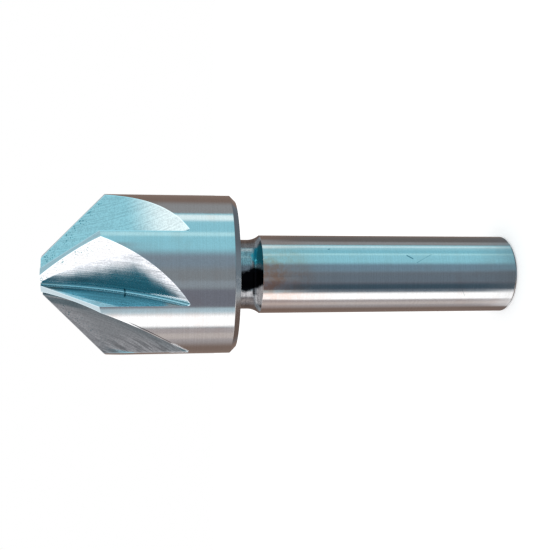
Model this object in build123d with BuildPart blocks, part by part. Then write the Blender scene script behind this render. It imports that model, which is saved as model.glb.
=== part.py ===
"""Countersink bit: a ninety degree cone with seven ground flutes, a waisted neck and a plain round shank.

The bit is one piece of tool steel, turned from bar and then fluted with a grinding wheel. It stands on
the flat end of its shank: the origin is the centre of that end, +Z runs along the tool's axis to the
point, and the first tooth has its cutting edge toward +X. Seen from the shank it cuts turning
clockwise, so every rake face looks the way that the angle about +Z grows. Sizes are in millimetres.
"""

from build123d import *
import os
from math import radians, sqrt, tan

# Head: a short cylinder that ends in the cutting cone
head_diameter = 20.0
point_angle = 90.0
tip_flat_diameter = 4.94
head_length = 23.6
head_back_chamfer = 0.7

# Neck: the turned waist between the head and the shank
neck_diameter = 8.85
neck_length = 3.2
neck_flare_length = 1.6
neck_corner_radius = 0.4

# Shank: the plain cylinder that the chuck grips
shank_diameter = 10.0
shank_length = 33.1
shank_end_chamfer = 0.3

# Flutes: each is the path of one pass of a bevelled grinding wheel, and leaves a rake face on one
# tooth and the flank of the tooth ahead of it
flute_count = 7
flute_length = 17.85
flute_root_at_tip = 1.95
rake_offset = 0.63
wheel_diameter = 70.0
wheel_rim_angle = 67.5
wheel_corner_radius = 0.2

# Relief: each tooth's land on the cone falls away behind its cutting edge
relief_angle = 10.0

# Levels and radii that follow
neck_base = shank_length
flare_top = neck_base + neck_flare_length
head_base = neck_base + neck_length
tip_level = head_base + head_length
head_radius = head_diameter / 2
tip_radius = tip_flat_diameter / 2
neck_radius = neck_diameter / 2
shank_radius = shank_diameter / 2
cone_slope = tan(radians(point_angle / 2))
cone_base = tip_level - (head_radius - tip_radius) / cone_slope

# The first tooth's cutting edge, where the rake plane meets the cone, from the tip to the head
edge_at_tip = Vector(sqrt(tip_radius**2 - rake_offset**2), -rake_offset, tip_level)
edge_at_head = Vector(sqrt(head_radius**2 - rake_offset**2), -rake_offset, cone_base)

# The wheel's flat side lies in the rake plane. In that plane its rim passes through the flute's root at
# the tip and through the outside of the head where the flute runs out; both are (outward, up) points.
rim_at_tip = Vector(flute_root_at_tip, tip_level)
rim_at_runout = Vector(edge_at_head.X, tip_level - flute_length)
rim_chord = rim_at_tip - rim_at_runout
wheel_radius = wheel_diameter / 2
centre_from_chord = sqrt(wheel_radius**2 - (rim_chord.length / 2) ** 2)
chord_normal = rim_chord.normalized().rotate(Axis.Z, -90)
wheel_centre = (rim_at_tip + rim_at_runout) * 0.5 + chord_normal * centre_from_chord
wheel_edge = wheel_centre.X - wheel_radius
wheel_width = head_diameter
wheel_back_edge = wheel_edge + wheel_width / tan(radians(wheel_rim_angle))

# The grinding wheel: flat on its front, with a conical rim and a slightly worn corner
with BuildPart() as grinding_wheel:
    with BuildSketch(Plane.XY.offset(wheel_centre.Y)) as wheel_section:
        with BuildLine():
            Polyline(
                (wheel_centre.X, -rake_offset),
                (wheel_edge, -rake_offset),
                (wheel_back_edge, wheel_width - rake_offset),
                (wheel_centre.X, wheel_width - rake_offset),
                close=True,
            )
        make_face()
        fillet(wheel_section.vertices().sort_by(Axis.X)[0], radius=wheel_corner_radius)
    revolve(axis=Axis((wheel_centre.X, 0, wheel_centre.Y), (0, 1, 0)))

# The relief stone: a block whose flat underside holds the first tooth's cutting edge. It would lie
# along the cone there, and the relief angle tips it inward behind the edge.
edge_direction = edge_at_head - edge_at_tip
cone_outward = Vector(edge_at_head.X, edge_at_head.Y, head_radius * cone_slope)
square_to_edge = edge_direction.cross(cone_outward.cross(edge_direction))
land_outward = square_to_edge.rotate(Axis((0, 0, 0), edge_direction), relief_angle)
with BuildPart() as relief_stone:
    with BuildSketch(Plane(edge_at_tip, x_dir=edge_direction, z_dir=land_outward)):
        Rectangle(3 * head_diameter, 3 * head_diameter)
    extrude(amount=head_diameter)

# The bit: turned to its profile, then fluted and relieved
with BuildPart() as countersink_bit:
    with BuildSketch(Plane.XZ) as turned_profile:
        with BuildLine():
            Polyline(
                (neck_radius, flare_top),
                (neck_radius, head_base),
                (head_radius, head_base),
                (head_radius, cone_base),
                (tip_radius, tip_level),
                (0, tip_level),
                (0, 0),
                (shank_radius, 0),
                (shank_radius, neck_base),
            )
            TangentArc((neck_radius, flare_top), (shank_radius, neck_base), tangent=(0, -1))
        make_face()
        neck_corner = turned_profile.vertices().sort_by_distance((neck_radius, head_base))[0]
        fillet(neck_corner, radius=neck_corner_radius)
        head_back_corner = turned_profile.vertices().sort_by_distance((head_radius, head_base))[0]
        chamfer(head_back_corner, length=head_back_chamfer)
        shank_end_corner = turned_profile.vertices().sort_by_distance((shank_radius, 0))[0]
        chamfer(shank_end_corner, length=shank_end_chamfer)
    revolve(axis=Axis.Z)
    with PolarLocations(0, flute_count):
        add(grinding_wheel.part, mode=Mode.SUBTRACT)
        add(relief_stone.part, mode=Mode.SUBTRACT)

countersink_bit.part.label = "countersink_bit"

os.makedirs("parts", exist_ok=True)
export_step(countersink_bit.part, "parts/countersink_bit.step")
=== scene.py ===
# %% [markdown]
# A countersink bit is one piece of tool steel: a round shank that a drill chuck holds, a narrow neck,
# and a wide head whose end is a ninety degree cone with seven cutting teeth. Everything that the eye
# reads on it is a reflection, so this lesson has two halves. The first half makes a skin with exactly
# known directions at every corner, because a polished tool shows the smallest error in them. The
# second half makes the steel and the studio around it.
#
# Lengths are in millimetres until the mesh is written, where they become Blender's metres.

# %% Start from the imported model
import math
import bpy
import numpy as np
from mathutils import Matrix, Vector


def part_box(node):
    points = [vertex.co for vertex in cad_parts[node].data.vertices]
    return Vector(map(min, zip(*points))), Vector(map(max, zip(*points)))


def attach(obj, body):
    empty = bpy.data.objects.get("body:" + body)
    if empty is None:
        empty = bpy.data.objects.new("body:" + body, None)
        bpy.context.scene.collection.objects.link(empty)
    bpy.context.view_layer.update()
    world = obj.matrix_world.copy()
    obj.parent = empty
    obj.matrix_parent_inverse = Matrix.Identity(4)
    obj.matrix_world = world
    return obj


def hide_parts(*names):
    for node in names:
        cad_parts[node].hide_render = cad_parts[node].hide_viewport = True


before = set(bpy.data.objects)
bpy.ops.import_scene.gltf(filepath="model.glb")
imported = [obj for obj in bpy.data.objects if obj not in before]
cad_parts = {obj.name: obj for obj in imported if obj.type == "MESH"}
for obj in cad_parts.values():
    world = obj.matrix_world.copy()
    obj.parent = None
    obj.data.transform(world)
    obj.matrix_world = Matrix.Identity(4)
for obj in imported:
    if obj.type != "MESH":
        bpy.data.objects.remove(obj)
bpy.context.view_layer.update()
MM = 0.001
cad_low, cad_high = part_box("countersink_bit")
print("solid stands from", round(cad_low.z / MM, 3), "to", round(cad_high.z / MM, 3), "mm")

# %% [markdown]
# The sizes are those of the solid, so the skin lies on it. A toolmaker would give the same ones: the
# head, the neck, the shank, and the bevelled grinding wheel that cuts the flutes.

# %% Sizes of the turned blank
head_radius = 10.0
tip_radius = 2.47
tip_level = 59.9
cone_base = tip_level - (head_radius - tip_radius)
head_base = 36.3
head_back_chamfer = 0.7
neck_radius = 4.425
shank_radius = 5.0
shank_length = 33.1
shank_end_chamfer = 0.3
print("cone from", round(cone_base, 2), "to", tip_level)

# %% Sizes of the flutes
flute_count = 7
pitch = 2 * np.pi / flute_count
flute_length = 17.85
flute_root_at_tip = 1.95
rake_offset = 0.63
relief_angle = np.radians(10.0)
wheel_radius = 35.0
rim_angle = np.radians(67.5)
corner_radius = 0.2
print("one tooth every", round(float(np.degrees(pitch)), 2), "degrees")

# %% [markdown]
# A grinding wheel cuts each flute. Its flat side leaves the rake face of one tooth, its bevelled rim
# leaves the flank of the next tooth, and its worn corner leaves the round root between them. So the
# flute is the wheel's own section carried round the wheel's axle, and it is easiest to write it that
# way: one distance along the section, one height on the tool.

# %% Where the wheel's axle stands
edge_at_tip = np.array([math.sqrt(tip_radius**2 - rake_offset**2), -rake_offset, tip_level])
edge_at_head = np.array([math.sqrt(head_radius**2 - rake_offset**2), -rake_offset, cone_base])
rim_at_tip = np.array([flute_root_at_tip, tip_level])
rim_at_runout = np.array([edge_at_head[0], tip_level - flute_length])
rim_chord = rim_at_tip - rim_at_runout
half_chord = np.linalg.norm(rim_chord) / 2
chord_side = np.array([rim_chord[1], -rim_chord[0]]) / (2 * half_chord)
axle_from_chord = math.sqrt(wheel_radius**2 - half_chord**2)
axle_x, axle_z = (rim_at_tip + rim_at_runout) / 2 + chord_side * axle_from_chord
print("axle at", round(axle_x, 3), round(axle_z, 3))

# %% The wheel's section
corner_turn = np.pi - rim_angle
corner_length = corner_radius * corner_turn
side_end = wheel_radius - corner_radius / math.tan(rim_angle / 2)


def wheel_section(w):
    """Depth and radius on the wheel at the distance w along its section, and the steel's facing there.

    Below zero w runs back down the flat side: depth 0, radius = side_end + w. Up to corner_length it
    turns the corner by the angle a = w / corner_radius: depth = corner_radius (1 - cos a), radius =
    side_end + corner_radius sin a. Past that it follows the rim, whose slope the rim angle gives. The
    facing is (cos a, -sin a) in depth and radius.
    """
    a = np.clip(w / corner_radius, 0, corner_turn)
    along_side = np.minimum(w, 0)
    along_rim = np.maximum(w - corner_length, 0)
    depth = corner_radius * (1 - np.cos(a)) + along_rim * np.sin(rim_angle)
    radius = side_end + corner_radius * np.sin(a) + along_side - along_rim * np.cos(rim_angle)
    return depth, radius, np.cos(a), -np.sin(a)


def flute_point(w, z):
    """Point of the first flute at distance w on the section and height z on the tool.

    The section swings round the axle, so x = axle_x - sqrt(radius^2 - (axle_z - z)^2), and y is the
    depth less the rake offset.
    """
    depth, radius, _, _ = wheel_section(w)
    x = axle_x - np.sqrt(radius**2 - (axle_z - z) ** 2)
    return np.stack([x, depth - rake_offset + 0 * x, z + 0 * x], axis=-1)


def flute_facing(w, points):
    """Facing of the flute: the section's facing, with its radius part pointed away from the axle."""
    _, _, across, outward = wheel_section(w)
    from_axle = np.stack([points[..., 0] - axle_x, points[..., 2] - axle_z], axis=-1)
    from_axle /= np.linalg.norm(from_axle, axis=-1, keepdims=True)
    return np.stack([outward * from_axle[..., 0], across, outward * from_axle[..., 1]], axis=-1)


print("root corner is", round(float(corner_length), 3), "mm round")

# %% [markdown]
# Behind its cutting edge the land of each tooth falls away a little, so that only the edge touches the
# work. That land is a plane through the cutting edge, tipped by the relief angle.

# %% The land plane


def turn(vectors, angle):
    """Vectors turned about the tool's axis: (x cos - y sin, x sin + y cos, z)."""
    x, y, z = np.moveaxis(np.asarray(vectors, float), -1, 0)
    cos, sin = np.cos(angle), np.sin(angle)
    return np.stack([x * cos - y * sin, x * sin + y * cos, z], axis=-1)


edge_direction = (edge_at_head - edge_at_tip) / np.linalg.norm(edge_at_head - edge_at_tip)
cone_outward = np.array([edge_at_head[0], edge_at_head[1], head_radius])
cone_outward -= cone_outward.dot(edge_direction) * edge_direction
cone_outward /= np.linalg.norm(cone_outward)
toward_heel = np.cross(edge_direction, cone_outward)
land_facing = cone_outward * math.cos(relief_angle) + toward_heel * math.sin(relief_angle)
next_facing = turn(land_facing, pitch)
next_edge = turn(edge_at_tip, pitch)
print("land faces", np.round(land_facing, 3))

# %% [markdown]
# The flute begins at the cutting edge, where it leaves the steel of its own tooth, and ends at the heel
# of the next one. Neither has a neat formula, so both are found by halving an interval many times, for
# every height at once.

# %% Find the cutting edge, the heel and the run-out
beyond_steel = 14  # this far from the root along the section, either way, is outside the head


def halve(outside_by, inside, outside, halvings=50):
    """Halves the interval from inside to outside until outside_by, a signed distance, is zero there."""
    for _ in range(halvings):
        middle = (inside + outside) / 2
        is_out = outside_by(middle) > 0
        inside, outside = np.where(is_out, inside, middle), np.where(is_out, middle, outside)
    return inside


def out_of_steel(points, facing, on_plane):
    """How far points are outside the head: past its cylinder, or above a tooth's land plane."""
    return np.maximum(np.hypot(points[..., 0], points[..., 1]) - head_radius, (points - on_plane) @ facing)


def deepest(z, tries=801):
    """The place on the wheel's corner that goes nearest to the tool's axis at each height."""
    corner = np.linspace(0, corner_length, tries)
    points = flute_point(corner, np.asarray(z)[..., None])
    return corner[np.argmin(np.hypot(points[..., 0], points[..., 1]), axis=-1)]


def flute_span(z):
    """Distances on the section where the flute starts, at the edge, and ends, at the heel."""
    root = deepest(z)
    own_land, next_land = (land_facing, edge_at_tip), (next_facing, next_edge)
    start = halve(lambda w: out_of_steel(flute_point(w, z), *own_land), root, root - beyond_steel)
    end = halve(lambda w: out_of_steel(flute_point(w, z), *next_land), root, root + beyond_steel)
    return start, end


def past_cylinder(z):
    """How far the deepest place of the flute at height z lies outside the head's cylinder."""
    point = flute_point(deepest(z), z)
    return np.hypot(point[..., 0], point[..., 1]) - head_radius


def below_land(z):
    """How far the flute's outer end on the cylinder lies below the next tooth's land plane."""
    root = deepest(z)
    end = halve(lambda w: np.hypot(*flute_point(w, z)[..., :2].T) - head_radius, root, root + beyond_steel)
    return -(flute_point(end, z) - next_edge) @ next_facing


fluted_level, plain_level = np.array(46.0), np.array(40.0)
land_level, cylinder_level = np.array(55.0), np.array(50.0)
runout_level = float(halve(past_cylinder, fluted_level, plain_level))
heel_corner = float(halve(below_land, land_level, cylinder_level))
print("flutes run out at", round(runout_level, 3), "and heels turn at", round(heel_corner, 3))

# %% [markdown]
# The skin is made of patches. A patch is a grid of points with a facing at each one, a place on a flat
# map that follows the grinding, and the distance to the nearest cut edge. Keeping the facing with the
# point means that nothing has to be guessed from neighbouring faces later.

# %% One tooth space: the rows and columns of the flute
cone_rows, flute_rows = 24, 34
side_columns, corner_columns, rim_columns = 12, 8, 24
fade = np.sin(np.linspace(0, np.pi / 2, flute_rows + 1))[1:]


def row_levels(corner_level):
    """Heights of the rows: even from the tip to a corner, then closing up toward the run-out."""
    on_cone = np.linspace(tip_level, corner_level, cone_rows + 1)
    return np.concatenate([on_cone, corner_level + fade * (runout_level - corner_level)])


edge_levels, heel_levels = row_levels(cone_base), row_levels(heel_corner)
columns = np.concatenate(
    [
        np.linspace(0, 1, side_columns, endpoint=False),
        np.linspace(1, 2, corner_columns, endpoint=False),
        np.linspace(2, 3, rim_columns + 1),
    ]
)
levels = edge_levels[:, None] + (heel_levels - edge_levels)[:, None] * columns / 3
print(len(edge_levels), "rows and", len(columns), "columns")

# %% One tooth space: the flute
start, end = flute_span(levels)
start[-1] = end[-1] = deepest(levels[-1])
corner_start = np.clip(0, start, end)
corner_end = np.clip(corner_length, start, end)
w = (
    start
    + (corner_start - start) * np.clip(columns, 0, 1)
    + (corner_end - corner_start) * np.clip(columns - 1, 0, 1)
    + (end - corner_end) * np.clip(columns - 2, 0, 1)
)
flute_points = flute_point(w, levels)
flute_facings = flute_facing(w, flute_points)
swing = np.arctan2(axle_z - flute_points[..., 2], axle_x - flute_points[..., 0]) * wheel_radius
flute_map = np.stack([swing, w], axis=-1)
flute_gap = np.minimum(w - start, end - w)
print("flute grid", flute_points.shape[:2])

# %% One tooth space: the land on the cone and the strip of cylinder below it
land_columns = 20
across = np.linspace(0, 1, land_columns + 1)
heel_line, edge_line = flute_points[:, -1], turn(flute_points[:, 0], pitch)
heel_angle = np.arctan2(heel_line[:, 1], heel_line[:, 0])
edge_angle = np.arctan2(edge_line[:, 1], edge_line[:, 0])
edge_angle = np.where(edge_angle < heel_angle, edge_angle + 2 * np.pi, edge_angle)
edge_angle[-1] = heel_angle[-1] + pitch
land_span = edge_line - heel_line
strip_angle = heel_angle[cone_rows:, None] + (edge_angle - heel_angle)[cone_rows:, None] * across
strip_level = heel_line[cone_rows:, 2:] + land_span[cone_rows:, 2:] * across
strip_facings = np.stack([np.cos(strip_angle), np.sin(strip_angle), 0 * strip_angle], axis=-1)
crease = head_radius * strip_facings[0, :, :2] - next_edge[:2]
strip_level[0] = tip_level - crease @ next_facing[:2] / next_facing[2]
strip_points = np.concatenate([head_radius * strip_facings[..., :2], strip_level[..., None]], axis=-1)
land_points = heel_line[: cone_rows + 1, None] + land_span[: cone_rows + 1, None] * across[:, None]
land_points[-1] = strip_points[0]
land_facings = np.broadcast_to(next_facing, land_points.shape)
land_width = np.linalg.norm(land_span, axis=-1)[:, None]
all_gap = land_width * np.minimum(across, 1 - across)
land_gap, strip_gap = all_gap[: cone_rows + 1], all_gap[cone_rows:]
land_map = np.stack([land_points[..., 2], land_width[: cone_rows + 1] * across], axis=-1)
strip_map = np.stack([strip_angle * head_radius, strip_points[..., 2]], axis=-1)
width_at_tip, width_at_head = land_width[[0, cone_rows], 0].round(2)
print("land is", width_at_tip, "mm wide at the tip and", width_at_head, "at the head")

# %% [markdown]
# Everything below the flutes is turned on a lathe, so it is one line carried round the axis. No real
# corner is perfectly sharp: each gets a small radius, which is what draws the thin bright lines on a
# tool. The neck's flare into the shank is the same thing with a large radius.

# %% The turned line


def soften(corners, radii, steps=8):
    """A line through corners, as (outward, up) points, with an arc of the given radius at each.

    An arc starts radius * tan(turn / 2) before its corner, and a large one has three times the steps.
    Returns the points and the facings, which are the line's direction turned by a quarter to the outside.
    """
    corners = np.array(corners, float)
    way = np.diff(corners, axis=0)
    way /= np.linalg.norm(way, axis=1, keepdims=True)
    out = np.stack([-way[:, 1], way[:, 0]], axis=-1)
    points, facings = [corners[:1]], [out[:1]]
    for corner, radius, before, after, out_before in zip(corners[1:-1], radii[1:-1], way, way[1:], out):
        turned = math.atan2(before[0] * after[1] - before[1] * after[0], before.dot(after))
        back = radius * math.tan(abs(turned) / 2)
        angles = np.linspace(0, turned, steps if radius < 1 else 3 * steps)[:, None]
        quarter = np.stack([-out_before[1], out_before[0]])
        facing = out_before * np.cos(angles) + quarter * np.sin(angles)
        bend = math.copysign(1, turned)
        centre = corner - before * back - out_before * radius * -bend
        points.append(centre - facing * radius * bend)
        facings.append(facing)
    return np.concatenate(points + [corners[-1:]]), np.concatenate(facings + [out[-1:]])


flare_rise, flare_radius, neck_corner_radius, worn_radius = 0.70, 2.4, 0.4, 0.06
turned_corners = [
    # (outward, up), radius there
    ((head_radius, runout_level), 0),
    ((head_radius, head_base + head_back_chamfer), 0.08),
    ((head_radius - head_back_chamfer, head_base), 0.05),
    ((neck_radius, head_base), neck_corner_radius),
    ((neck_radius, shank_length + flare_rise), flare_radius),
    ((shank_radius, shank_length), worn_radius),
    ((shank_radius, shank_end_chamfer), worn_radius),
    ((shank_radius - shank_end_chamfer, 0), worn_radius),
    ((0, 0), 0),
]
line_points, line_facings = soften(*zip(*turned_corners))
steps_along = np.linalg.norm(np.diff(line_points, axis=0), axis=1)
line_length = np.concatenate([[0], np.cumsum(steps_along)])
print("turned line has", len(line_points), "points over", round(float(line_length[-1]), 1), "mm")

# %% Carry the line round the axis
round_angle = heel_angle[-1] + np.linspace(0, 2 * np.pi, flute_count * land_columns + 1)
direction = np.stack([np.cos(round_angle), np.sin(round_angle)], axis=-1)


def revolve(outward, up):
    """A line of (outward, up) values carried round the axis: x and y are outward along each direction."""
    flat = outward[:, None, None] * direction
    return np.concatenate([flat, np.broadcast_to(up[:, None, None], flat.shape[:2] + (1,))], axis=-1)


turned_points = revolve(line_points[:, 0], line_points[:, 1])
turned_facings = revolve(line_facings[:, 0], line_facings[:, 1])
turned_map = np.stack(np.broadcast_arrays(round_angle * head_radius, -line_length[:, None]), axis=-1)
far_from_edges, neck_margin = 9.0, 0.02
turned_gap = np.full(turned_points.shape[:2], far_from_edges)
below_shank_size = line_points[:, 0] < shank_radius - neck_margin
in_neck = np.flatnonzero(below_shank_size & (line_points[:, 1] > shank_length))
print("turned grid", turned_points.shape[:2], "of which", len(in_neck), "rows are the neck")

# %% [markdown]
# The patches share their borders point for point, so they can be welded into one closed skin: points
# in the same place become one vertex, and quads that have shrunk to a triangle or to nothing at the
# ends of the flutes lose their spare corners. Each corner of a face keeps the facing of its own patch,
# which leaves the cutting edges crisp and the rounds smooth.

# %% Gather the patches of all seven teeth
FLUTE, LAND, TURNED, NECK = 0, 1, 2, 3
map_step = 40.0  # each tooth has its own strip of the grinding map, so no two are marked alike
turned_line = (turned_points, turned_facings, turned_map, turned_gap)
neck_from, neck_to, line_end = in_neck[0], in_neck[-1] + 1, len(line_points)
parts_of_line = [(0, neck_from + 1, TURNED), (neck_from, neck_to + 1, NECK), (neck_to, line_end, TURNED)]
patches = [(*(grid[first:last] for grid in turned_line), kind) for first, last, kind in parts_of_line]
for tooth in range(flute_count):
    at = tooth * pitch
    aside, round_by = [0, map_step * tooth], [at * head_radius, 0]
    for points, facings, plan, gap, kind in (
        (flute_points, flute_facings, flute_map + aside, flute_gap, FLUTE),
        (land_points, land_facings, land_map + aside, land_gap, LAND),
        (strip_points, strip_facings, strip_map + round_by, strip_gap, TURNED),
    ):
        patches.append((turn(points, at), turn(facings, at), plan, gap, kind))
print(len(patches), "patches")

# %% Weld them into one mesh
POINTS, FACINGS, MAP, GAP = 0, 1, 2, 3


def grid_quads(rows, columns, first):
    """Corner numbers of the quads of a grid whose points are numbered row by row from first."""
    number = first + np.arange(rows * columns).reshape(rows, columns)
    four = [number[:-1, :-1], number[:-1, 1:], number[1:, 1:], number[1:, :-1]]
    return np.stack(four, axis=-1).reshape(-1, 4)


def gather(patches, item):
    """One item of every patch, such as its points, as one list with a row for each raw point."""
    width = 1 if patches[0][item].ndim == 2 else patches[0][item].shape[-1]
    return np.concatenate([patch[item].reshape(-1, width) for patch in patches])


def weld(patches, grain=1e-5):
    """All patches as one list of faces over shared vertices.

    Points that round to the same multiple of grain are one vertex. A quad is wound so that it faces as
    its patch does. Returns vertices, the vertex of each raw point, quads and triangles of raw points,
    and the material number of each.
    """
    points, facings = gather(patches, POINTS), gather(patches, FACINGS)
    cells = np.round(points / grain).astype(np.int64)
    _, first_seen, vertex = np.unique(cells, axis=0, return_index=True, return_inverse=True)
    vertex = vertex.reshape(-1)
    quads, kinds, first = [], [], 0
    for grid, _, _, _, kind in patches:
        quads.append(grid_quads(*grid.shape[:2], first))
        kinds.append(np.full(len(quads[-1]), kind))
        first += grid.shape[0] * grid.shape[1]
    quads, kinds = np.concatenate(quads), np.concatenate(kinds)
    corners = points[quads]
    normal = np.cross(corners[:, 2] - corners[:, 0], corners[:, 3] - corners[:, 1])
    wrong_way = np.einsum("ij,ij->i", normal, facings[quads].sum(axis=1)) < 0
    quads[wrong_way] = quads[wrong_way, ::-1]
    shared = vertex[quads] == np.roll(vertex[quads], -1, axis=1)
    spare = shared.sum(axis=1)
    three = np.argmax(shared, axis=1)[:, None] + np.array([1, 2, 3])
    triangles = np.take_along_axis(quads, three % 4, axis=1)[spare == 1]
    return points[first_seen], vertex, quads[spare == 0], triangles, kinds[spare == 0], kinds[spare == 1]


vertices, vertex, quads, triangles, quad_kinds, triangle_kinds = weld(patches)
print(len(vertices), "vertices,", len(quads), "quads,", len(triangles), "triangles")

# %% [markdown]
# The flat tip is a single face. Its corners are the points of the seven flutes and lands that stand at
# the level of the tip, in order round it.

# %% Close the flat tip
same_level = 1e-7
rim_of_tooth = np.concatenate([flute_points[0, :-1], land_points[0, :-1]])
tip_ring = np.concatenate([turn(rim_of_tooth, tooth * pitch) for tooth in range(flute_count)])
raw_points = gather(patches, POINTS)
on_tip = np.flatnonzero(np.abs(raw_points[:, 2] - tip_level) < same_level)
nearest = on_tip[np.argmin(np.linalg.norm(raw_points[on_tip][None] - tip_ring[:, None], axis=-1), axis=1)]
raw_corner = np.concatenate([quads.ravel(), triangles.ravel(), nearest])
face_sizes = np.concatenate([np.full(len(quads), 4), np.full(len(triangles), 3), [len(nearest)]])
face_kinds = np.concatenate([quad_kinds, triangle_kinds, [LAND]])
corner_facings = gather(patches, FACINGS)[raw_corner]
corner_facings[-len(nearest) :] = (0, 0, 1)
corner_map = gather(patches, MAP)[raw_corner]
corner_map[-len(nearest) :] = tip_ring[:, :2]
corner_gap = gather(patches, GAP)[raw_corner, 0]
print("the tip has", len(nearest), "corners")

# %% Write the mesh
skin_mesh = bpy.data.meshes.new("fluted_bit")
skin_mesh.vertices.add(len(vertices))
skin_mesh.vertices.foreach_set("co", (vertices * MM).ravel())
skin_mesh.loops.add(len(raw_corner))
skin_mesh.loops.foreach_set("vertex_index", vertex[raw_corner])
skin_mesh.polygons.add(len(face_sizes))
skin_mesh.polygons.foreach_set("loop_start", np.concatenate([[0], np.cumsum(face_sizes)[:-1]]))
skin_mesh.polygons.foreach_set("material_index", face_kinds)
skin_mesh.update(calc_edges=True)
skin_mesh.shade_smooth()
grinding_map = skin_mesh.uv_layers.new(name="grinding")
grinding_map.uv.foreach_set("vector", corner_map.ravel())
edge_gap = skin_mesh.attributes.new("edge_gap", "FLOAT", "CORNER")
edge_gap.data.foreach_set("value", corner_gap)
print("the mesh has", len(skin_mesh.polygons), "faces")

# %% [markdown]
# Blender shades smoothly across an edge unless it is marked sharp, and it needs the marks to store a
# facing for each corner of a face. An edge is sharp where the facings of its two faces differ at
# either end. They are known exactly, so a small angle is enough to tell.

# %% Mark the real corners sharp, then store the facings


def stand(name, data):
    """An object of the given name and data, linked to the scene."""
    thing = bpy.data.objects.new(name, data)
    bpy.context.scene.collection.objects.link(thing)
    return thing


sharp_from = np.radians(1.5)
corner_edge = np.zeros(len(skin_mesh.loops), np.int32)
skin_mesh.loops.foreach_get("edge_index", corner_edge)
uses = np.bincount(corner_edge, minlength=len(skin_mesh.edges))
print("edges not shared by two faces:", int((uses != 2).sum()), "of", len(uses))
face_start = np.concatenate([[0], np.cumsum(face_sizes)])
face_of_corner = np.repeat(np.arange(len(face_sizes)), face_sizes)
following = np.arange(len(raw_corner)) + 1
following = np.where(following == face_start[face_of_corner + 1], face_start[face_of_corner], following)
by_edge = np.argsort(corner_edge, kind="stable").reshape(-1, 2)
one, other = by_edge[:, 0], by_edge[:, 1]
near_end = np.einsum("ij,ij->i", corner_facings[one], corner_facings[following[other]])
far_end = np.einsum("ij,ij->i", corner_facings[following[one]], corner_facings[other])
is_sharp = np.minimum(near_end, far_end) < np.cos(sharp_from)
skin_mesh.attributes.new("sharp_edge", "BOOLEAN", "EDGE").data.foreach_set("value", is_sharp)
skin_mesh.normals_split_custom_set(corner_facings)
skin = stand("fluted_bit", skin_mesh)
stored = np.zeros(len(skin_mesh.loops) * 3, np.float32)
skin_mesh.corner_normals.foreach_get("vector", stored)
agreement = np.einsum("ij,ij->i", stored.reshape(-1, 3), corner_facings)
worst = round(float(np.degrees(np.arccos(np.clip(agreement.min(), -1, 1)))), 2)
print(int(is_sharp.sum()), "sharp edges; the worst stored facing is", worst, "degrees off")

# %% [markdown]
# Bare ground steel has no colour of its own to speak of: it is a slightly blurred mirror. What makes it
# look real is the grinding. A wheel leaves fine lines in the direction that it ran, so the marks follow
# the grinding map, which is long along the cut and narrow across it. An image of scratches would repeat
# and blur, while stretched noise never does. One node group makes it for every surface, with its own
# spacing and run. It also gives a plain noise for cloudy changes, and a very fine one for the grain.

# %% Node group: grinding marks


def link(tree, source, target):
    """Joins an output socket to an input socket."""
    tree.links.new(source, target)


def math_node(tree, operation, first, second):
    """A Math node over two inputs, each a socket or a number. Returns its output."""
    node = tree.nodes.new("ShaderNodeMath")
    node.operation = operation
    for socket, value in zip(node.inputs, (first, second)):
        if isinstance(value, (int, float)):
            socket.default_value = value
        else:
            link(tree, value, socket)
    return node.outputs[0]


def noise_node(tree, vector, scale, detail=3.0, roughness=0.55):
    """A Noise Texture node read at vector. Returns its value."""
    node = tree.nodes.new("ShaderNodeTexNoise")
    for name, number in (("Scale", scale), ("Detail", detail), ("Roughness", roughness)):
        node.inputs[name].default_value = number
    link(tree, vector, node.inputs["Vector"])
    return node.outputs[0]


def new_group(name, inputs, outputs):
    """A node group with the named sockets. Returns the group, its input node and its output node."""
    group = bpy.data.node_groups.new(name, "ShaderNodeTree")
    for in_out, sockets in (("INPUT", inputs), ("OUTPUT", outputs)):
        for socket, kind in sockets.items():
            group.interface.new_socket(name=socket, in_out=in_out, socket_type="NodeSocket" + kind)
    return group, group.nodes.new("NodeGroupInput"), group.nodes.new("NodeGroupOutput")


grain_per_metre = 5.0 / MM
marks, marks_in, marks_out = new_group(
    "grinding_marks",
    {"Map": "Vector", "Place": "Vector", "Lines per mm": "Float", "Run length": "Float"},
    {"Lines": "Float", "Cloud": "Float", "Grain": "Float"},
)
split = marks.nodes.new("ShaderNodeSeparateXYZ")
link(marks, marks_in.outputs["Map"], split.inputs[0])
along_cut = math_node(marks, "DIVIDE", split.outputs[0], marks_in.outputs["Run length"])
across_cut = math_node(marks, "MULTIPLY", split.outputs[1], marks_in.outputs["Lines per mm"])
stretched = marks.nodes.new("ShaderNodeCombineXYZ")
link(marks, along_cut, stretched.inputs[0])
link(marks, across_cut, stretched.inputs[1])
link(marks, noise_node(marks, stretched.outputs[0], 1.0, 4.0, 0.62), marks_out.inputs["Lines"])
link(marks, noise_node(marks, marks_in.outputs["Map"], 0.55, 3.0, 0.6), marks_out.inputs["Cloud"])
link(marks, noise_node(marks, marks_in.outputs["Place"], grain_per_metre, 2.0), marks_out.inputs["Grain"])
print("grinding_marks has", len(marks.nodes), "nodes")

# %% [markdown]
# A cut edge is rubbed bright in use, on every face that meets it, and the same bright band is also a
# painted highlight along each cut edge. The skin stores the distance to the nearest cut edge, so a
# narrow band of it is the mask. Finding edges by their bend, as a Bevel node does, would also brighten
# the chamfers, which nothing rubs.

# %% Node group: rubbed cut edges with a painted highlight


def ramp_node(tree, value, low, high, to_low=0.0, to_high=1.0):
    """A Map Range node with a smooth step from low to high. Returns its result."""
    node = tree.nodes.new("ShaderNodeMapRange")
    node.interpolation_type = "SMOOTHSTEP"
    for name, number in zip(("From Min", "From Max", "To Min", "To Max"), (low, high, to_low, to_high)):
        node.inputs[name].default_value = number
    link(tree, value, node.inputs["Value"])
    return node.outputs[0]


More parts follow.
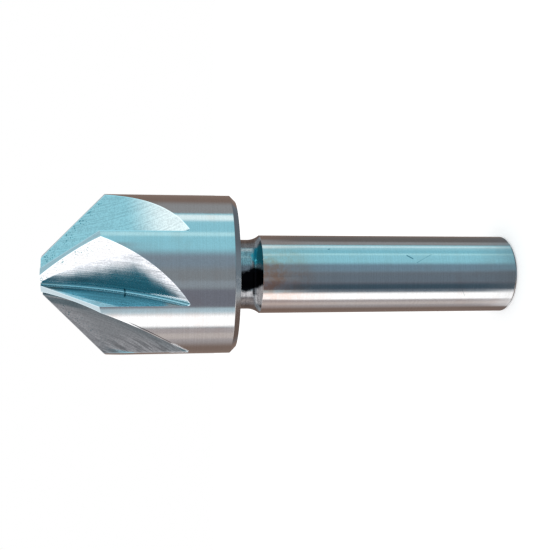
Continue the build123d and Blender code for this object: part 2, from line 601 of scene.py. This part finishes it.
def mix_colours(tree, factor, first, second):
    """A Mix node over two colours, each a socket or three numbers. Returns its result."""
    node = tree.nodes.new("ShaderNodeMix")
    node.data_type = "RGBA"
    link(tree, factor, node.inputs["Factor"])
    for name, value in (("A", first), ("B", second)):
        if isinstance(value, tuple):
            node.inputs[name].default_value = (*value, 1)
        else:
            link(tree, value, node.inputs[name])
    return node.outputs["Result"]


# The bright edge colour is partly wear and partly a painted highlight.
bright_edge_from, bright_edge_to = 0.03, 0.13
wear_and_highlight_colour = (0.85, 0.85, 0.86)
wear_and_highlight, wear_and_highlight_in, wear_and_highlight_out = new_group(
    "worn_and_highlit_edges", {"Colour": "Color", "Edge gap": "Float", "Share": "Float"}, {"Colour": "Color"}
)
bright_edge_mask = ramp_node(wear_and_highlight, wear_and_highlight_in.outputs["Edge gap"], bright_edge_from, bright_edge_to, 1.0, 0.0)
bright_edge_mask = math_node(wear_and_highlight, "MULTIPLY", bright_edge_mask, wear_and_highlight_in.outputs["Share"])
link(wear_and_highlight, mix_colours(wear_and_highlight, bright_edge_mask, wear_and_highlight_in.outputs["Colour"], wear_and_highlight_colour), wear_and_highlight_out.inputs["Colour"])
print("worn_and_highlit_edges has", len(wear_and_highlight.nodes), "nodes")

# %% [markdown]
# The painted reflections on the neck and the painted shade and highlight at one flute's end are
# patches, and no real patch has a round border. The distance from a point gives a ball, so noise is
# added to the distance before it is cut off, which frays the border. A painted mask would do as well,
# but it would need a picture and a map of its own.

# %% Node group: a patch with a ragged border


def product(tree, first, *others):
    """The product of several inputs, each a socket or a number."""
    for other in others:
        first = math_node(tree, "MULTIPLY", first, other)
    return first


def vector_node(tree, operation, first, second):
    """A Vector Math node over two sockets. Returns the node, whose outputs depend on the operation."""
    node = tree.nodes.new("ShaderNodeVectorMath")
    node.operation = operation
    link(tree, first, node.inputs[0])
    link(tree, second, node.inputs[1])
    return node


fray_per_metre, fray_share = 0.9 / MM, 1.1
ragged, ragged_in, ragged_out = new_group(
    "ragged_patch", {"Place": "Vector", "Middle": "Vector", "Reach": "Float"}, {"Patch": "Float"}
)
away = vector_node(ragged, "DISTANCE", ragged_in.outputs["Place"], ragged_in.outputs["Middle"])
part_way = math_node(ragged, "DIVIDE", away.outputs["Value"], ragged_in.outputs["Reach"])
fray = product(ragged, noise_node(ragged, ragged_in.outputs["Place"], fray_per_metre, 4.0, 0.6), fray_share)
frayed = math_node(ragged, "ADD", part_way, fray)
link(ragged, ramp_node(ragged, frayed, 1.34, 1.70, 1.0, 0.0), ragged_out.inputs["Patch"])
print("ragged_patch has", len(ragged.nodes), "nodes")

# %% Place a patch


def cylinder_point(turned_by, height, outward):
    """The point at an angle in degrees, a height and a distance from the axis, in metres."""
    angle = math.radians(turned_by)
    return np.array([outward * math.cos(angle), outward * math.sin(angle), height]) * MM


def group_node(tree, group, sources, values):
    """Places a group in a tree, with sockets joined to some inputs and values set on others."""
    node = tree.nodes.new("ShaderNodeGroup")
    node.node_tree = group
    for name, source in sources.items():
        link(tree, source, node.inputs[name])
    for name, value in values.items():
        node.inputs[name].default_value = value
    return node


def patch_node(tree, place, turned_by, height, outward, reach):
    """A ragged patch of the given reach round the point at an angle, height and distance from the axis."""
    values = {"Middle": cylinder_point(turned_by, height, outward).tolist(), "Reach": reach * MM}
    return group_node(tree, ragged, {"Place": place}, values).outputs[0]


print("the top of the neck, in metres:", cylinder_point(0.0, head_base, neck_radius))

# %% [markdown]
# A scratch is a short straight line with soft sides. The nearest place on it to any point is start +
# share * way, where the share is (point - start) . way / way . way, held between 0 and 1. The distance
# to that place, over the scratch's width, decides how dark it is. The same line with a great width is
# a soft, rounded spot.

# %% Node group: a scratch
scratch, scratch_in, scratch_out = new_group(
    "scratch",
    {"Place": "Vector", "Start": "Vector", "Way": "Vector", "Width": "Float"},
    {"Scratch": "Float"},
)
start, way = scratch_in.outputs["Start"], scratch_in.outputs["Way"]
from_start = vector_node(scratch, "SUBTRACT", scratch_in.outputs["Place"], start).outputs[0]
way_squared = vector_node(scratch, "DOT_PRODUCT", way, way).outputs["Value"]
along_way = vector_node(scratch, "DOT_PRODUCT", from_start, way).outputs["Value"]
share = math_node(scratch, "DIVIDE", along_way, way_squared)
share = math_node(scratch, "MINIMUM", math_node(scratch, "MAXIMUM", share, 0.0), 1.0)
passed = scratch.nodes.new("ShaderNodeVectorMath")
passed.operation = "SCALE"
link(scratch, way, passed.inputs[0])
link(scratch, share, passed.inputs["Scale"])
off_line = vector_node(scratch, "DISTANCE", from_start, passed.outputs[0]).outputs["Value"]
off_line = math_node(scratch, "DIVIDE", off_line, scratch_in.outputs["Width"])
link(scratch, ramp_node(scratch, off_line, 0.35, 0.8, 1.0, 0.0), scratch_out.inputs["Scratch"])
print("scratch has", len(scratch.nodes), "nodes")


def scratch_node(tree, place, outward, start, end, width):
    """A scratch between two (angle, height) points at a distance from the axis."""
    first, last = cylinder_point(*start, outward), cylinder_point(*end, outward)
    values = {"Start": first.tolist(), "Way": (last - first).tolist(), "Width": width * MM}
    return group_node(tree, scratch, {"Place": place}, values).outputs[0]


# %% [markdown]
# Every steel here is the same neutral metal. The lines are seen three ways: as light and dark streaks,
# as changes of gloss, and as a very shallow bump that smears reflections across the cut. A metal's
# colour tints all that it reflects, so the greys lie close together.

# %% The base of every steel
wear_and_highlight_share = 0.8


def ground_steel(name, light, dark, roughness, lines_per_mm, run_length, line_depth):
    """A neutral metal whose colour, roughness and bump follow the grinding.

    Returns the material, its grinding map, the place on the tool and the colour before any other mark.
    """
    material = bpy.data.materials.new(name)
    material.use_nodes = True
    tree = material.node_tree
    shader = tree.nodes["Principled BSDF"]
    shader.inputs["Metallic"].default_value = 1.0
    uv = tree.nodes.new("ShaderNodeUVMap")
    uv.uv_map = "grinding"
    place = tree.nodes.new("ShaderNodeTexCoord").outputs["Object"]
    values = {"Lines per mm": lines_per_mm, "Run length": run_length}
    grinding = group_node(tree, marks, {"Map": uv.outputs[0], "Place": place}, values)
    grain = ramp_node(tree, grinding.outputs["Grain"], 0.35, 0.65, -0.45, 0.45)
    streaks = math_node(tree, "ADD", ramp_node(tree, grinding.outputs["Lines"], 0.36, 0.64), grain)
    colour = mix_colours(tree, streaks, dark, light)
    cloudy = ramp_node(tree, grinding.outputs["Cloud"], 0.3, 0.7, roughness * 0.8, roughness * 1.2)
    link(tree, cloudy, shader.inputs["Roughness"])
    bump = tree.nodes.new("ShaderNodeBump")
    bump.inputs["Strength"].default_value = 1.0
    bump.inputs["Distance"].default_value = line_depth * MM
    link(tree, grinding.outputs["Lines"], bump.inputs["Height"])
    link(tree, bump.outputs[0], shader.inputs["Normal"])
    return material, uv.outputs[0], place, colour


def gap_node(tree):
    """The distance to the nearest cut edge in millimetres, as the skin stores it."""
    gap = tree.nodes.new("ShaderNodeAttribute")
    gap.attribute_name = "edge_gap"
    return gap.outputs["Fac"]


def finish_colour(material, colour):
    """Brightens the colour along cut edges, as wear and a painted highlight, and gives it to the shader."""
    tree = material.node_tree
    sources = {"Colour": colour, "Edge gap": gap_node(tree)}
    shown = group_node(tree, wear_and_highlight, sources, {"Share": wear_and_highlight_share}).outputs[0]
    link(tree, shown, tree.nodes["Principled BSDF"].inputs["Base Color"])
    print(material.name, "has", len(tree.nodes), "nodes")


# %% [markdown]
# Four finishes share that base. The flutes are rough ground and left alone, so they are the most
# marked. The rake side sees less light deep in the flute, which is painted as shade that darkens it
# toward the root, and it shows the steps of the wheel's feed.
# The grinding map counts across the cut from the root of each flute, so its second number, wrapped to
# one tooth, is the distance from the root: below zero on the rake side, above it on the flank.

# %% Flute steel: the rake side


def height_node(tree, place):
    """The height of a place above the shank's end, in metres."""
    split = tree.nodes.new("ShaderNodeSeparateXYZ")
    link(tree, place, split.inputs[0])
    return split.outputs[2]


flute_steel, flute_uv, place, colour = ground_steel(
    "flute_steel",
    light=(0.68, 0.68, 0.69),
    dark=(0.52, 0.52, 0.53),
    roughness=0.035,
    lines_per_mm=6.0,
    run_length=7.0,
    line_depth=0.0004,
)
tree = flute_steel.node_tree
gap, height = gap_node(tree), height_node(tree, place)
axes = tree.nodes.new("ShaderNodeSeparateXYZ")
link(tree, flute_uv, axes.inputs[0])
wrapped = tree.nodes.new("ShaderNodeMath")
wrapped.operation = "WRAP"
link(tree, axes.outputs[1], wrapped.inputs[0])
wrapped.inputs[1].default_value, wrapped.inputs[2].default_value = map_step / 2, -map_step / 2
from_root = wrapped.outputs[0]
on_rake = ramp_node(tree, from_root, -0.4, -0.2, 1.0, 0.0)
inner_rake = product(tree, on_rake, ramp_node(tree, gap, 0.2, 3.0, 0.0, 0.8))
colour = mix_colours(tree, inner_rake, colour, (0.40, 0.42, 0.43))
# Painted shade: beside the root the rake darkens toward a deep teal, more strongly near the tip.
near_tip = ramp_node(tree, height, 52.0 * MM, 56.5 * MM)
tip_root_shade = product(tree, ramp_node(tree, from_root, -1.25, -0.85, 0.0, 0.7), near_tip)
beside_root = ramp_node(tree, from_root, -1.8, -0.6, 0.0, 0.35)
rake_root_shade = product(tree, on_rake, math_node(tree, "MAXIMUM", beside_root, tip_root_shade))
colour = mix_colours(tree, rake_root_shade, colour, (0.09, 0.18, 0.21))
feed = group_node(tree, marks, {"Map": flute_uv}, {"Lines per mm": 4.0, "Run length": 3.0})
feed_lines = ramp_node(tree, feed.outputs["Lines"], 0.42, 0.54, 1.0, 0.0)
near_edge = ramp_node(tree, gap, 0.2, 3.2, 0.7, 0.0)
below_tip = ramp_node(tree, height, 52.0 * MM, 54.5 * MM, 1.0, 0.0)
feed_marks = product(tree, on_rake, near_edge, below_tip, feed_lines)
colour = mix_colours(tree, feed_marks, colour, (0.22, 0.23, 0.24))
print("the rake side takes", len(tree.nodes), "nodes")

# %% [markdown]
# A band of painted shade follows the root, where the wheel's round corner leaves a groove. Small
# dark pits lie in clusters along the heel of each tooth on the cone. A Voronoi texture gives the
# distance from scattered points, and a pit is where that is smaller than a size that noise varies. One
# flute has a nick across its root, which is a short scratch.

# %% Flute steel: painted root shade, pits and a nick
clusters_per_metre, pits_per_metre = 0.7 / MM, 3.8 / MM
# Painted shade: a dark teal band along the root groove of every flute.
off_root = math_node(tree, "ABSOLUTE", math_node(tree, "SUBTRACT", from_root, 0.12), 0.0)
colour = mix_colours(tree, ramp_node(tree, off_root, 0.18, 0.42, 0.95, 0.0), colour, (0.20, 0.33, 0.37))
on_flank = math_node(tree, "SUBTRACT", 1.0, on_rake)
on_cone = ramp_node(tree, height, 47.5 * MM, 53.0 * MM)
near_heel = product(tree, ramp_node(tree, gap, 0.6, 4.2, 1.0, 0.0), on_flank, on_cone)
clusters = ramp_node(tree, noise_node(tree, place, clusters_per_metre, 3.0), 0.34, 0.62, 0.05, 0.33)
pits = tree.nodes.new("ShaderNodeTexVoronoi")
pits.inputs["Scale"].default_value = pits_per_metre
link(tree, place, pits.inputs["Vector"])
outside_pit = math_node(tree, "SUBTRACT", pits.outputs["Distance"], product(tree, near_heel, clusters))
pit = product(tree, ramp_node(tree, outside_pit, -0.02, 0.04, 1.0, 0.0), near_heel)
colour = mix_colours(tree, pit, colour, (0.16, 0.28, 0.31))
nick_tooth, nick_level, nick_half_turn, nick_width = 5, 49.75, 3, 0.22
nick_point = turn(flute_point(deepest(nick_level), nick_level), nick_tooth * pitch)
nick_angle, nick_outward = math.degrees(math.atan2(nick_point[1], nick_point[0])), math.hypot(*nick_point[:2])
nick_ends = [(nick_angle + side * nick_half_turn, nick_level) for side in (-1, 1)]
nick = scratch_node(tree, place, nick_outward, *nick_ends, nick_width)
colour = mix_colours(tree, nick, colour, (0.05, 0.12, 0.14))
finish_colour(flute_steel, colour)

# %% [markdown]
# The lands are the last thing ground. They are narrow and clean, so the base alone is enough for them.

# %% Land steel
land_steel, _, place, colour = ground_steel(
    "land_steel",
    light=(0.63, 0.63, 0.64),
    dark=(0.57, 0.57, 0.58),
    roughness=0.10,
    lines_per_mm=8.0,
    run_length=6.0,
    line_depth=0.0004,
)
finish_colour(land_steel, colour)

# %% [markdown]
# The round parts are ground between centres, so their marks run round the tool, long and shallow. Heat
# has browned the steel beside the neck. The brown fades down the shank, is strongest in two soft spots
# and is mottled by noise. Faint blotches, a little warmer than bare steel, lie over all of it.

# %% Turned steel: heat and blotches
turned_steel, _, place, colour = ground_steel(
    "turned_steel",
    light=(0.622, 0.622, 0.627),
    dark=(0.578, 0.573, 0.573),
    roughness=0.10,
    lines_per_mm=7.0,
    run_length=30.0,
    line_depth=0.00015,
)
tree = turned_steel.node_tree
height = height_node(tree, place)
blotches_per_metre, mottle_per_metre = 0.26 / MM, 1.1 / MM
blotches = noise_node(tree, place, blotches_per_metre, 4.0, 0.6)
toward_neck = ramp_node(tree, height, 21.0 * MM, 33.0 * MM, 0.0, 0.26)
below_neck = ramp_node(tree, height, 33.2 * MM, 34.0 * MM, 1.0, 0.0)
heat = product(tree, toward_neck, ramp_node(tree, blotches, 0.30, 0.58, 0.4, 1.0), below_neck)
mottle = ramp_node(tree, noise_node(tree, place, mottle_per_metre, 4.0, 0.65), 0.32, 0.62, 0.45, 1.0)
spots = [
    # angle, height, width, how brown
    (-86.0, 31.0, 6.5, 0.5),
    (-87.0, 32.6, 4.0, 0.95),
]
spot_half_height = 0.3
for turned_by, level, width, share in spots:
    ends = [(turned_by, level + side * spot_half_height) for side in (-1, 1)]
    spot = scratch_node(tree, place, shank_radius, *ends, width)
    heat = math_node(tree, "MAXIMUM", heat, product(tree, spot, mottle, share))
colour = mix_colours(tree, heat, colour, (0.60, 0.36, 0.26))
colour = mix_colours(tree, ramp_node(tree, blotches, 0.50, 0.75, 0.0, 0.5), colour, (0.58, 0.52, 0.50))
print("the heat and the blotches take", len(tree.nodes), "nodes")

# %% [markdown]
# Handling has left a few scratches. Where one flute runs out, a line of painted shade lies beside the
# edge, and its end has a painted highlight and is rougher there.

# %% Turned steel: handling marks, and painted shade and highlight at a flute's end
handling = [
    # start and end as (angle, height), width, how dark
    ((-57.5, 14.7), (-62.4, 14.0), 0.13, 0.9),
    ((-68.7, 13.5), (-55.4, 11.4), 0.07, 0.5),
    ((-47.0, 24.8), (-46.3, 24.6), 0.12, 0.8),
    ((-109.4, 7.4), (-119.5, 6.9), 0.07, 0.4),
    ((60.0, 20.2), (52.0, 17.9), 0.07, 0.5),
    ((170.0, 9.0), (166.0, 8.6), 0.12, 0.7),
]
for start, end, width, share in handling:
    mark = product(tree, scratch_node(tree, place, shank_radius, start, end, width), share)
    colour = mix_colours(tree, mark, colour, (0.10, 0.20, 0.23))
gap = gap_node(tree)
# Painted shade: a dark line beside the edge where one flute runs out.
beside_edge = product(tree, ramp_node(tree, gap, 0.12, 0.18), ramp_node(tree, gap, 0.26, 0.34, 1.0, 0.0))
runout_shade_line = product(tree, beside_edge, patch_node(tree, place, -134.8, 46.3, head_radius, 3.8))
colour = mix_colours(tree, runout_shade_line, colour, (0.08, 0.08, 0.09))
# Painted highlight: a bright, rougher patch at the end of that flute.
by_edge = ramp_node(tree, gap, 0.40, 0.55, 1.0, 0.0)
runout_highlight = product(tree, by_edge, patch_node(tree, place, -151.0, 43.5, head_radius, 2.3))
colour = mix_colours(tree, runout_highlight, colour, wear_and_highlight_colour)
runout_roughness = 0.5
gloss = tree.nodes["Principled BSDF"].inputs["Roughness"]
rougher = math_node(tree, "ADD", gloss.links[0].from_socket, product(tree, runout_highlight, runout_roughness))
link(tree, rougher, gloss)
finish_colour(turned_steel, colour)

# %% [markdown]
# The neck is only turned, so its skin is coarser, and its darker greys are painted shade for the
# groove between head and shank. On it lie a painted blue reflection on one side, and beside it a
# painted dark reflection, which three ragged patches make in a slanting row.

# %% Neck steel, with painted shade and painted reflections
# Painted shade: the neck's greys are darker than the other steels' because its groove lies in shade.
neck_steel, _, place, colour = ground_steel(
    "neck_steel",
    light=(0.36, 0.36, 0.37),
    dark=(0.22, 0.22, 0.23),
    roughness=0.16,
    lines_per_mm=6.0,
    run_length=8.0,
    line_depth=0.0006,
)
tree = neck_steel.node_tree
# Painted reflection: a blue patch on one side of the neck.
painted_blue_reflection = patch_node(tree, place, -54.0, 32.9, 5.2, 1.7)
colour = mix_colours(tree, painted_blue_reflection, colour, (0.05, 0.28, 0.33))
# Painted reflection: three dark patches in a slanting row.
for turned_by, level in ((-90.0, 33.8), (-94.0, 34.6), (-99.5, 35.4)):
    painted_dark_reflection = patch_node(tree, place, turned_by, level, 4.5, 1.3)
    colour = mix_colours(tree, painted_dark_reflection, colour, (0.004, 0.004, 0.005))
finish_colour(neck_steel, colour)

# %% Dress the tool with the four steels
finishes = [flute_steel, land_steel, turned_steel, neck_steel]
for finish in finishes:
    skin_mesh.materials.append(finish)
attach(skin, "root")
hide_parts("countersink_bit")
print("finishes:", [finish.name for finish in finishes])

# %% [markdown]
# The camera stands close in front of the tool, a little above its middle, and is turned on its side, so
# the point of the bit is at the left of the picture.

# %% Camera
picture_width = 550
sensor_width = 36
camera_elevation = math.radians(8.68)
camera_azimuth = math.radians(-85.13)
camera_distance = 95.66
camera_height = 30.942
focal_pixels = 740
aim_below_axis = 0.109
camera_roll = 0.0022
toward = Vector((math.cos(camera_azimuth), math.sin(camera_azimuth), 0))
back = toward * math.cos(camera_elevation) + Vector((0, 0, math.sin(camera_elevation)))
right = toward * math.sin(camera_elevation) - Vector((0, 0, math.cos(camera_elevation)))
up = back.cross(right)
rolled_right = (right - camera_roll * up).normalized()
rolled_up = back.cross(rolled_right)
camera_place = (Vector((0, 0, camera_height)) + back * camera_distance - up * aim_below_axis) * MM
camera_turn = Matrix((rolled_right, rolled_up, back)).transposed().to_4x4()
camera_data = bpy.data.cameras.new("camera")
camera_data.sensor_width = sensor_width
camera_data.lens = focal_pixels / picture_width * sensor_width
camera_data.clip_start = MM
camera = stand("camera", camera_data)
camera.matrix_world = Matrix.Translation(camera_place) @ camera_turn
bpy.context.scene.camera = camera
print("camera at", [round(c / MM, 1) for c in camera_place], "lens", round(camera_data.lens, 2))

# %% [markdown]
# A mirror needs something to reflect. Shiny tools are lit inside a tent of cloth and card: white where
# the light comes through, grey and brown card where the steel should look solid, and pale blue ones to
# cool it. Here the tent is one round skin, seen by the steel and not by the camera.
# Each card is a patch of it with soft borders. Its bearings count from the camera, and grow the way
# that angles about +Z do. Its elevations count from level. A leaning card's elevations climb with its
# bearing. Later cards lie in front of earlier ones. Cards named foot, hem or thread lie low. The camera
# looks level at the head and down on the shank, so the shank alone reflects them.

# %% The cards of the tent
cards = {
    # name: (bearings from, to), (soft there), (elevations from, to), soft, lean, colour
    "room": ((-180, 180), (0, 0), (-90, 90), 0, 0, (0.52, 0.58, 0.62)),
    "front_grey": ((-180, 180), (0, 0), (-90, 7), 6, 0, (0.31, 0.35, 0.38)),
    "front_foot": ((-180, 180), (0, 0), (-90, -9), 6, 0, (0.20, 0.25, 0.30)),
    "brown_back": ((112, 250), (30, 30), (-90, 12), 6, 0, (0.27, 0.20, 0.17)),
    "blue_haze": ((9, 40), (14, 10), (-90, 7), 6, 0, (0.29, 0.38, 0.46)),
    "haze_foot": ((8, 40), (14, 10), (-90, -9), 5, 0, (0.23, 0.36, 0.46)),
    "dark_card": ((-47, -20), (6, 8), (-90, 7), 6, 0, (0.235, 0.25, 0.30)),
    "dark_foot": ((-47, -27), (8, 18), (-90, -9), 5, 0, (0.07, 0.12, 0.163)),
    "grey_line": ((-19, -9), (8, 4), (-90, 7), 6, 0, (0.37, 0.43, 0.48)),
    "line_foot": ((-24, -4), (4, 4), (-90, -9), 5, 0, (0.19, 0.245, 0.30)),
    "grey_step": ((18, 43), (10, 5), (3, 14), 4, 0, (0.36, 0.37, 0.39)),
    "blue_wall": ((31, 62), (15, 0), (-90, 3), 3, 0, (0.40, 0.87, 1.02)),
    "blue_side": ((45, 96), (4, 3), (-90, 9), 4, 0, (0.39, 0.86, 1.01)),
    "blue_foot": ((63, 84), (4, 6), (-90, -9), 5, 0, (0.32, 0.77, 0.92)),
    "blue_line": ((55.3, 61.3), (3, 3), (-90, 6), 6, 0, (0.68, 1.17, 1.27)),
    "blue_hem": ((50, 63), (2, 2), (-90, -9), 5, 0, (0.40, 0.87, 1.02)),
    "blue_thread": ((58, 63.5), (3, 3), (-90, -9), 5, 0, (0.58, 1.10, 1.20)),
    "pale_line": ((82, 93.3), (7, 4), (-90, 6), 6, 0, (1.15, 1.43, 1.48)),
    "pale_foot": ((76, 94), (2, 2), (-90, -9), 5, 0, (0.42, 0.85, 0.98)),
    "thin_foot": ((84.5, 92), (3, 3), (-90, -9), 5, 0, (0.82, 1.2, 1.3)),
    "grey_right": ((97, 122), (3, 20), (-90, 12), 6, 0, (0.38, 0.39, 0.40)),
    "slate_foot": ((112, 150), (10, 20), (-90, -9), 5, 0, (0.19, 0.18, 0.175)),
    "rose_left": ((-116, -82), (30, 3), (-90, 12), 6, 0, (0.58, 0.53, 0.53)),
    "rose_line": ((-104, -92), (6, 4), (-90, 6), 6, 0, (0.74, 0.67, 0.64)),
    "blue_edge": ((-57, -48), (3, 4), (-10, 8), 4, 0, (0.62, 0.82, 0.92)),
    "white_left": ((-79.5, -57.5), (6, 10), (-90, 12), 6, 0, (1.75, 1.75, 1.75)),
    "white_foot": ((-81.7, -70), (6, 3), (-90, -9), 5, 0, (1.75, 1.75, 1.75)),
    "black_gap": ((-74, 8), (6, 10), (7, 18), 4, 0, (0.02, 0.02, 0.03)),
    "teal_gap": ((8, 44), (10, 4), (13, 20), 4, 0, (0.05, 0.20, 0.27)),
    "grey_sky": ((-44, 10), (6, 14), (18, 54), 4, 0, (0.73, 0.74, 0.76)),
    "blue_sky": ((7, 40), (6, 6), (20, 90), 6, 0, (0.42, 0.90, 1.03)),
    "pale_sky": ((-40, 60), (20, 20), (57, 90), 14, 0, (1.25, 1.50, 1.52)),
    "teal_sky": ((0, 24), (4, 3), (30, 68), 6, 0, (0.32, 1.18, 1.55)),
    "blue_left": ((-62, -42), (4, 4), (28, 60), 6, 0, (0.70, 1.35, 1.58)),
    "white_window": ((-112, -76), (6, 6), (18, 64), 6, 0, (1.75, 1.75, 1.75)),
    "pale_back": ((-168, -116), (8, 6), (40, 76), 8, 0, (0.95, 1.13, 1.20)),
    "teal_card": ((42, 96), (4, 6), (14, 50), 4, 0, (0.07, 0.38, 0.52)),
    "blue_high": ((40, 100), (4, 6), (38, 72), 3, 1, (0.45, 1.10, 1.32)),
    "white_lamp": ((44, 98), (4, 6), (34.75, 43), 0.8, 1, (2.75, 2.8, 2.85)),
    "grey_high": ((98, 150), (6, 10), (56, 84), 8, 0, (0.50, 0.80, 0.90)),
    "floor_grey": ((-180, 180), (0, 0), (-90, -28), 6, 0, (0.22, 0.28, 0.33)),
    "back_slate": ((112, 172), (12, 12), (-70, -28), 14, 0, (0.16, 0.19, 0.22)),
    "back_brown": ((-172, -118), (12, 10), (-70, -28), 14, 0, (0.19, 0.14, 0.12)),
    "floor_dark": ((-46, 12), (10, 10), (-90, -27), 6, 0, (0.14, 0.16, 0.18)),
    "floor_teal": ((12, 110), (10, 10), (-90, -27), 6, 0, (0.20, 0.36, 0.43)),
    "floor_white": ((-120, -50), (10, 8), (-90, -27), 6, 0, (1.6, 1.6, 1.6)),
}
leaning_bearings = (46, 50.5, 53, 56.4, 60, 64, 66, 69, 75, 79, 82, 96)
leaning_rises = (-16, -10.1, -6.3, -2.9, 0, 2.3, 3.4, 4.1, 4.7, 4.6, 3.9, 3.6)
print(len(cards), "cards")

# %% [markdown]
# Each card covers what is behind it by its share, which is 1 on the card, 0 off it and in between along
# its soft border: glow + share * (colour - glow). Square lamps would give hard borders, and soft ones
# are what makes the bands on round steel melt into each other.

# %% How the cards glow


def step_up(value, at, soft):
    """0 below at and 1 above it, with a smooth step of the width soft centred on it."""
    t = np.clip((value - at) / max(soft, 1e-6) + 0.5, 0, 1)
    return t * t * (3 - 2 * t)


def pick(low, high, soft, value):
    """1 between low and high and 0 outside, where each end is a step with its own softness."""
    return step_up(value, low, soft[0]) * (1 - step_up(value, high, soft[1]))


bearings_deg = np.linspace(-180, 180, 721)
elevations_deg = np.linspace(-90, 90, 361)
bearing, elevation = np.meshgrid(np.radians(bearings_deg), np.radians(elevations_deg))
beyond_pole = 200
glow = np.zeros(bearing.shape + (3,))
for (left, right_end), soft_ends, (low, high), soft_rise, lean, colour in cards.values():
    middle = (left + right_end) / 2
    seen_bearing = (np.degrees(bearing) - middle + 180) % 360 - 180 + middle
    seen_elevation = np.degrees(elevation) - lean * np.interp(seen_bearing, leaning_bearings, leaning_rises)
    lowest, highest = low if low > -90 else -beyond_pole, high if high < 90 else beyond_pole
    share = pick(lowest, highest, (soft_rise, soft_rise), seen_elevation)
    if right_end - left < 360:
        share = pick(left, right_end, soft_ends, seen_bearing) * share
    glow += share[..., None] * (np.array(colour) - glow)
print("the tent glows from", glow.min().round(3), "to", glow.max().round(3))

# %% [markdown]
# The tent is far away, so every point of the tool sees a card in the same direction. It is only there
# to be reflected: the floor takes no light or shade from it, and the camera looks through it.

# %% The tent's skin and light
tent_radius = 5000.0
tent_angle = camera_azimuth + bearing
level_share = np.cos(elevation)
tent_points = tent_radius * np.stack(
    [level_share * np.cos(tent_angle), level_share * np.sin(tent_angle), np.sin(elevation)], axis=-1
)
tent_points[..., 2] += camera_height
tent_mesh = bpy.data.meshes.new("light_tent")
tent_mesh.from_pydata((tent_points * MM).reshape(-1, 3), [], grid_quads(*tent_points.shape[:2], 0).tolist())
tent_glow = tent_mesh.attributes.new("glow", "FLOAT_COLOR", "POINT")
solid_glow = np.concatenate([glow, np.ones(glow.shape[:2] + (1,))], axis=-1)
tent_glow.data.foreach_set("color", solid_glow.ravel())
tent = stand("light_tent", tent_mesh)
tent.visible_camera = False
tent.visible_diffuse = False
tent.visible_shadow = False
tent_light = bpy.data.materials.new("tent_light")
tent_light.use_nodes = True
tree = tent_light.node_tree
tree.nodes.clear()
glow_colour = tree.nodes.new("ShaderNodeAttribute")
glow_colour.attribute_name = "glow"
lamp = tree.nodes.new("ShaderNodeEmission")
link(tree, glow_colour.outputs["Color"], lamp.inputs["Color"])
link(tree, lamp.outputs[0], tree.nodes.new("ShaderNodeOutputMaterial").inputs["Surface"])
tent_mesh.materials.append(tent_light)
print("the tent has", len(tent_mesh.vertices), "points")

# %% [markdown]
# The floor is plain and nearly white. A small glow, for the camera alone, lifts it to white, and the
# rest of it is ordinary paint, which keeps the soft shadow at the foot of the shank.

# %% Floor
floor_half = 550.0
camera_lift = 0.36
floor_mesh = bpy.data.meshes.new("floor")
floor_corners = np.array([(-1, -1, 0), (1, -1, 0), (1, 1, 0), (-1, 1, 0)]) * floor_half * MM
floor_mesh.from_pydata(floor_corners.tolist(), [], [(0, 1, 2, 3)])
floor = stand("floor", floor_mesh)
floor.visible_glossy = False
floor_paint = bpy.data.materials.new("floor_paint")
floor_paint.use_nodes = True
paint = floor_paint.node_tree.nodes["Principled BSDF"]
paint.inputs["Base Color"].default_value = (0.80, 0.80, 0.80, 1)
paint.inputs["Roughness"].default_value = 0.9
paint.inputs["Specular IOR Level"].default_value = 0.0
paint.inputs["Emission Color"].default_value = (1, 1, 1, 1)
tree = floor_paint.node_tree
to_camera = tree.nodes.new("ShaderNodeLightPath").outputs["Is Camera Ray"]
link(tree, math_node(tree, "MULTIPLY", to_camera, camera_lift), paint.inputs["Emission Strength"])
floor_mesh.materials.append(floor_paint)
print("the floor is", 2 * floor_half, "mm wide")

# %% [markdown]
# Light that misses everything comes from the world. It is plain white and even, which is the softest
# light there is, and it also gives the picture its white ground.

# %% Background
world = bpy.data.worlds.new("white_room")
bpy.context.scene.world = world
world.use_nodes = True
backdrop = world.node_tree.nodes["Background"]
backdrop.inputs["Color"].default_value = (1, 1, 1, 1)
backdrop.inputs["Strength"].default_value = 1.0
bpy.context.scene.view_settings.view_transform = "Standard"
print("the background is white")
